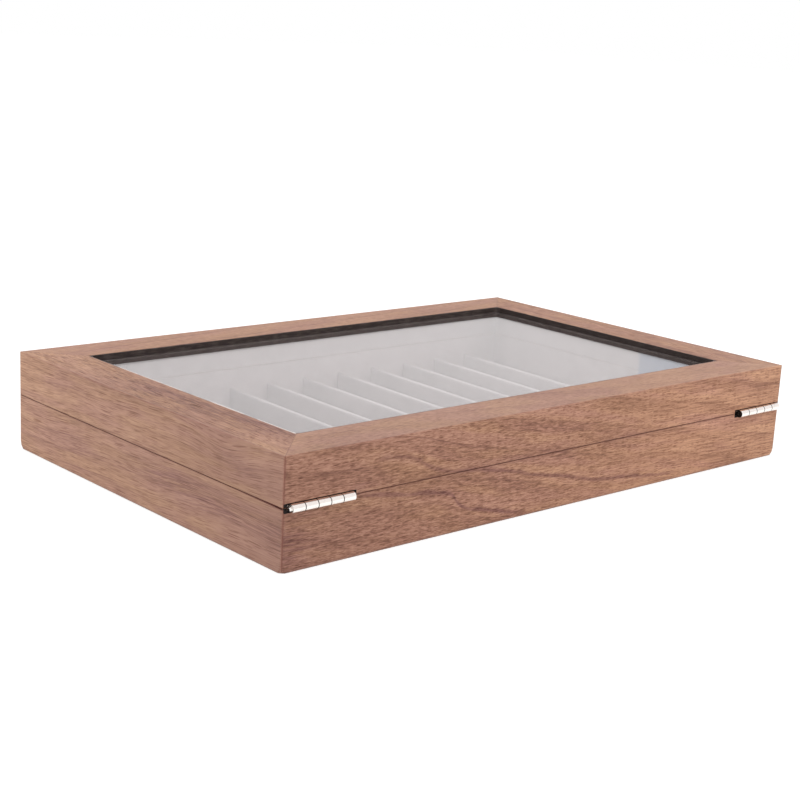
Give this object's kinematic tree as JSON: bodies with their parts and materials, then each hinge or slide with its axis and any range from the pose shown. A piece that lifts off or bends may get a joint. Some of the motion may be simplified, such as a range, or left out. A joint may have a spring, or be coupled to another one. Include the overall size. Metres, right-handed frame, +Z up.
{
  "type": "pen storage case",
  "caption": "Flat wooden pen case with mitred corners, a hinged lid with a glass window in a black-edged frame, and a suede-lined inside divided into pen slots.",
  "frame": {"origin": "the middle of the underside of the wooden case, hinge knuckles left out", "axes": "+X to the right along the long side as seen from the front, +Y to the back where the hinges are, +Z up"},
  "size_m": [0.31, 0.2038, 0.0465],
  "materials": {
    "walnut": "open-pored walnut under a thin satin oil",
    "bottom_board": "walnut-faced board, satin",
    "black_trim": "wood strip stained and lacquered black, satin",
    "glass": "clear flat sheet glass",
    "suede": "light grey suede cloth on thin board",
    "hinge_nickel": "bright nickel plate",
    "screw_nickel": "nickel-plated steel",
    "magnet": "nickel-plated disc magnet"
  },
  "bodies": {
    "base": {"base_front_wall": "walnut", "base_right_wall": "walnut", "base_back_wall": "walnut", "base_left_wall": "walnut", "bottom_panel": "bottom_board", "floor_pad": "suede", "base_front_lining": "suede", "base_right_lining": "suede", "base_back_lining": "suede", "base_left_lining": "suede", "divider_01": "suede", "divider_02": "suede", "divider_03": "suede", "divider_04": "suede", "divider_05": "suede", "divider_06": "suede", "divider_07": "suede", "divider_08": "suede", "divider_09": "suede", "divider_10": "suede", "divider_11": "suede", "base_magnets": "magnet", "left_hinge_base_leaf": "hinge_nickel", "left_hinge_pin": "hinge_nickel", "left_hinge_base_screws": "screw_nickel", "right_hinge_base_leaf": "hinge_nickel", "right_hinge_pin": "hinge_nickel", "right_hinge_base_screws": "screw_nickel"},
    "lid": {"lid_front_rail": "walnut", "lid_right_rail": "walnut", "lid_back_rail": "walnut", "lid_left_rail": "walnut", "window_front_liner": "black_trim", "window_right_liner": "black_trim", "window_back_liner": "black_trim", "window_left_liner": "black_trim", "glass_pane": "glass", "glazing_front_bead": "black_trim", "glazing_right_bead": "black_trim", "glazing_back_bead": "black_trim", "glazing_left_bead": "black_trim", "lid_front_lining": "suede", "lid_right_lining": "suede", "lid_back_lining": "suede", "lid_left_lining": "suede", "lid_magnets": "magnet", "left_hinge_lid_leaf": "hinge_nickel", "left_hinge_lid_screws": "screw_nickel", "right_hinge_lid_leaf": "hinge_nickel", "right_hinge_lid_screws": "screw_nickel"}
  },
  "joints": [
    {"name": "lid_hinge", "type": "hinge", "parent": "base", "child": "lid", "pos_m": [0, 0.1015, 0.02605], "axis": [-1, 0, 0], "range_deg": [0, 180]}
  ]
}
